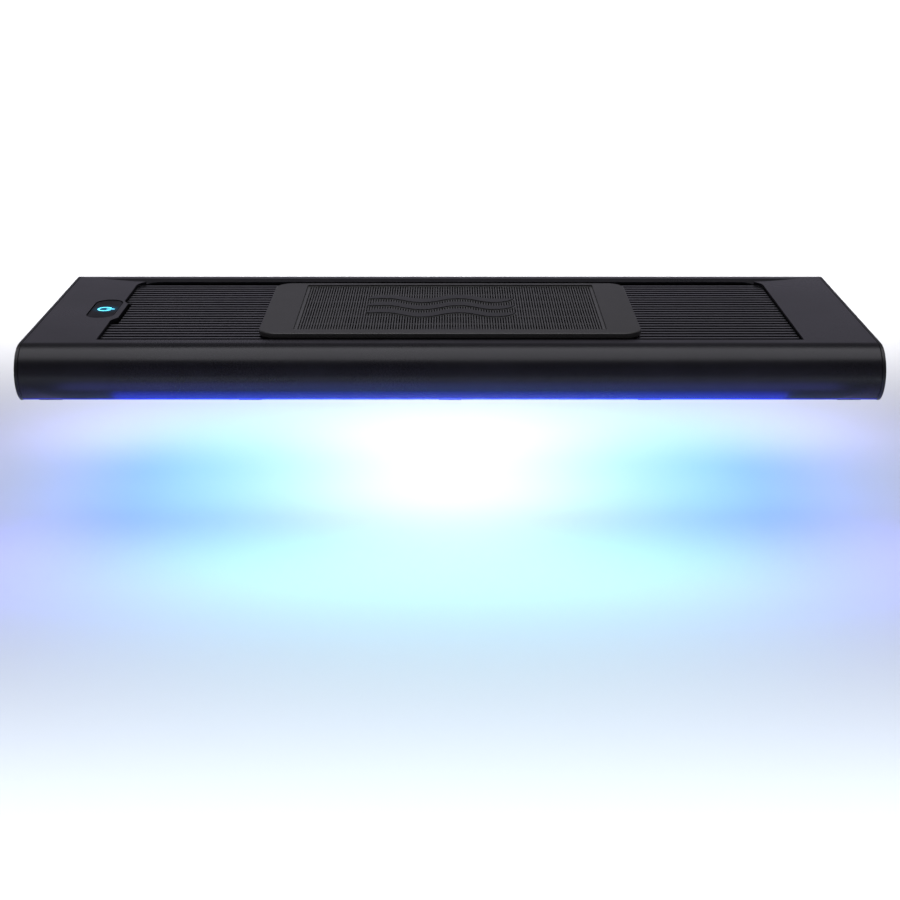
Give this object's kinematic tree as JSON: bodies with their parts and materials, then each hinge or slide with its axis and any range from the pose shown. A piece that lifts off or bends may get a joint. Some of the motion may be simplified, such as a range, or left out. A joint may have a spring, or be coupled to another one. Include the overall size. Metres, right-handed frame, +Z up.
{
  "type": "aquarium light",
  "caption": "Slim black aquarium light: round-edged housing, finned heat sink behind a top window, fans under a lift-off ribbed cover, lit push key, clipped diffuser below.",
  "frame": {"origin": "centre of the underside, level with the feet of the diffuser clips and the lower edges of the end caps", "axes": "+X along the fixture to the end with the power socket, +Y to the rear, +Z up out of the finned top"},
  "size_m": [0.5, 0.1904, 0.0346],
  "materials": {
    "black_anodised": "fine satin black anodised extrusion",
    "black_cap": "satin black powder coat",
    "black_rubber": "matt",
    "dark_screw": "black oxide",
    "brass_insert": "turned",
    "lit_diffuser": "frosted, lit from inside",
    "black_clip": "fine matt moulded",
    "white_board": "white solder mask",
    "grey_pad": "soft silicone",
    "steel_screw": "zinc plated",
    "led_white": "phosphor under a clear dome",
    "led_blue": "clear dome",
    "led_violet": "clear dome",
    "led_red": "clear dome",
    "white_plastic": "bright white moulded",
    "black_sink": "satin black anodised fins",
    "black_cover": "fine matt moulded",
    "black_grille": "fine matt moulded ribs",
    "black_badge": "smooth satin",
    "magnet": "nickel plated",
    "steel": "plain",
    "key_gloss": "dark smoked gloss",
    "lit_icon": "light guide, lit cyan",
    "green_board": "green solder mask",
    "black_package": "moulded",
    "clear_silicone": "translucent silicone",
    "dark_ferrite": "sintered",
    "capacitor_sleeve": "dark sleeve",
    "cream_plastic": "moulded nylon",
    "black_lead": "pvc jacket",
    "bright_pin": "plated",
    "fan_plastic": "glass-filled moulding",
    "bronze": "sintered bronze",
    "copper_winding": "enamelled windings on a steel core"
  },
  "bodies": {
    "root": {"board_link_lead": "black_lead", "cap_screws": "dark_screw", "capacitors": "capacitor_sleeve", "circuit_chips": "black_package", "circuit_posts": "brass_insert", "circuit_screws": "steel_screw", "control_board": "green_board", "cover_keepers": "steel", "diffuser_clips": "black_clip", "diffuser_panel": "lit_diffuser", "diffuser_seal": "black_rubber", "driver_board": "green_board", "driver_coils": "dark_ferrite", "end_cap_left": "black_cap", "end_cap_right": "black_cap", "end_seal_left": "black_rubber", "end_seal_right": "black_rubber", "fan_bush_left": "bronze", "fan_bush_right": "bronze", "fan_frame_left": "fan_plastic", "fan_frame_right": "fan_plastic", "fan_lead_left": "black_lead", "fan_lead_right": "black_lead", "fan_screws": "steel_screw", "fan_stator_left": "copper_winding", "fan_stator_right": "copper_winding", "heat_sink": "black_sink", "housing_shell": "black_anodised", "key_board": "green_board", "key_carrier": "black_cover", "key_dome": "clear_silicone", "key_lamps": "led_white", "key_switch": "black_package", "lead_connectors": "cream_plastic", "led_board_screws": "steel_screw", "led_boards": "white_board", "leds_blue": "led_blue", "leds_red": "led_red", "leds_violet": "led_violet", "leds_white": "led_white", "mount_inserts_left": "brass_insert", "mount_inserts_right": "brass_insert", "power_pin": "bright_pin", "power_socket": "black_package", "radio_module": "steel", "reflector_frame": "white_plastic", "thermal_pads": "grey_pad"},
    "fan_left": {"fan_rotor_left": "fan_plastic", "fan_shaft_left": "steel", "fan_magnet_left": "dark_ferrite"},
    "fan_right": {"fan_rotor_right": "fan_plastic", "fan_shaft_right": "steel", "fan_magnet_right": "dark_ferrite"},
    "key": {"key_cap": "key_gloss", "key_icon": "lit_icon"},
    "cover": {"fan_cover": "black_cover", "fan_grille": "black_grille", "cover_badge": "black_badge", "cover_magnets": "magnet"}
  },
  "joints": [
    {"name": "fan_left_spin", "type": "hinge", "parent": "root", "child": "fan_left", "pos_m": [-0.0465, -0.0051, 0.022], "axis": [0, 0, 1], "continuous": true},
    {"name": "fan_right_spin", "type": "hinge", "parent": "root", "child": "fan_right", "pos_m": [0.0465, -0.0051, 0.022], "axis": [0, 0, 1], "continuous": true},
    {"name": "key_press", "type": "slide", "parent": "root", "child": "key", "axis": [0, 0, -1], "range_m": [0, 0.0006], "stiffness_N_per_m": 600, "deforming": ["key_dome"]},
    {"name": "cover_lift", "type": "slide", "parent": "root", "child": "cover", "axis": [0, 0, 1], "range_m": [0, 0.03]}
  ]
}
